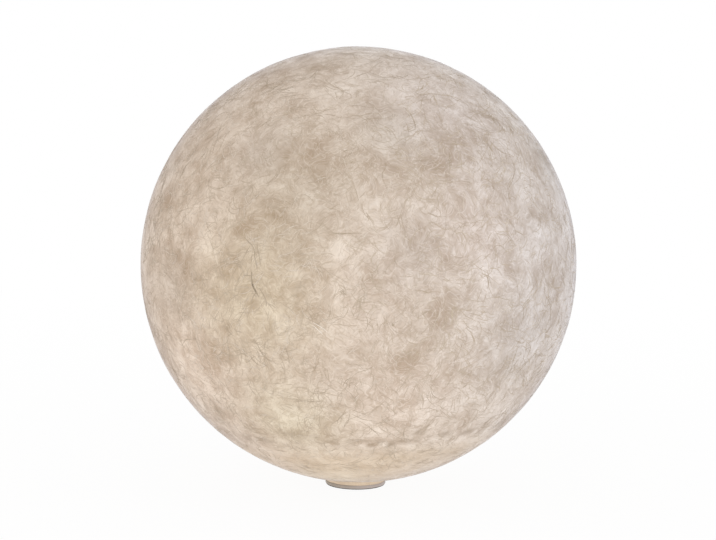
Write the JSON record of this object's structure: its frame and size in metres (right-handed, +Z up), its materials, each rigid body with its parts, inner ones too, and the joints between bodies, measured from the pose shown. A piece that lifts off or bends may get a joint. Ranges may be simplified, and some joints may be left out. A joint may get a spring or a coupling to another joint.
{
  "type": "moon table lamp",
  "caption": "Moon lamp: a hollow pale fibre globe resting on a small round base, with a screw lampholder and bulb inside.",
  "frame": {"origin": "centre of the foot, on the surface that the lamp stands on", "axes": "+Z up through the neck and the crown; +Y to the rear, where the cord leaves; +X to the right seen from the front"},
  "size_m": [0.5, 0.5, 0.5069],
  "materials": {
    "fibre_shell": "pale resin laminate full of fine curly fibres, satin",
    "neck_resin": "the same laminate, smoother",
    "base_paint": "grey-beige powder coat, matt",
    "pad_rubber": "dark foot pad",
    "grommet_rubber": "black grommet",
    "zinc_steel": "zinc-plated steel",
    "ballast_iron": "as cast",
    "contact_brass": "pressed brass",
    "holder_plastic": "white thermoplastic, satin",
    "holder_porcelain": "unglazed porcelain",
    "cap_nickel": "nickel-plated",
    "cap_black": "black insulator",
    "bulb_plastic": "white moulded plastic",
    "driver_green": "solder-masked board",
    "led_white": "white-masked aluminium board",
    "dome_opal": "opal diffuser"
  },
  "bodies": {
    "base": {"foot_pad": "pad_rubber", "base_housing": "base_paint", "bottom_cover": "zinc_steel", "cover_screws": "zinc_steel", "ballast_weight": "ballast_iron", "cord_grommet": "grommet_rubber", "stem_tube": "zinc_steel", "lower_washer": "zinc_steel", "lower_nut": "zinc_steel", "upper_washer": "zinc_steel", "upper_nut": "zinc_steel", "holder_cap": "holder_plastic", "holder_grub_screw": "zinc_steel", "holder_body": "holder_plastic", "contact_block": "holder_porcelain", "terminal_screws": "contact_brass", "centre_contact": "contact_brass", "side_contact": "contact_brass", "screw_shell": "contact_brass"},
    "globe": {"upper_shell": "fibre_shell", "lower_shell": "fibre_shell", "seam_strip": "neck_resin", "crown_patch": "fibre_shell", "neck_collar": "neck_resin"},
    "bulb_foot": {"bulb_tip": "cap_nickel"},
    "bulb": {"cap_insulator": "cap_black", "bulb_cap": "cap_nickel", "bulb_housing": "bulb_plastic", "driver_board": "driver_green", "led_board": "led_white", "bulb_dome": "dome_opal"}
  },
  "joints": [
    {"name": "globe_lift", "type": "slide", "parent": "base", "child": "globe", "axis": [0, 0, 1], "range_m": [0, 0.25]},
    {"name": "bulb_rise", "type": "slide", "parent": "base", "child": "bulb_foot", "axis": [0, 0, 1], "range_m": [0, 0.0165]},
    {"name": "bulb_turn", "type": "hinge", "parent": "bulb_foot", "child": "bulb", "pos_m": [0, 0, 0.11], "axis": [0, 0, 1], "range_deg": [0, 1620]}
  ],
  "couplings": [
    {"joint": "bulb_rise", "follows": "bulb_turn", "m_per_rad": 0.00057757}
  ]
}
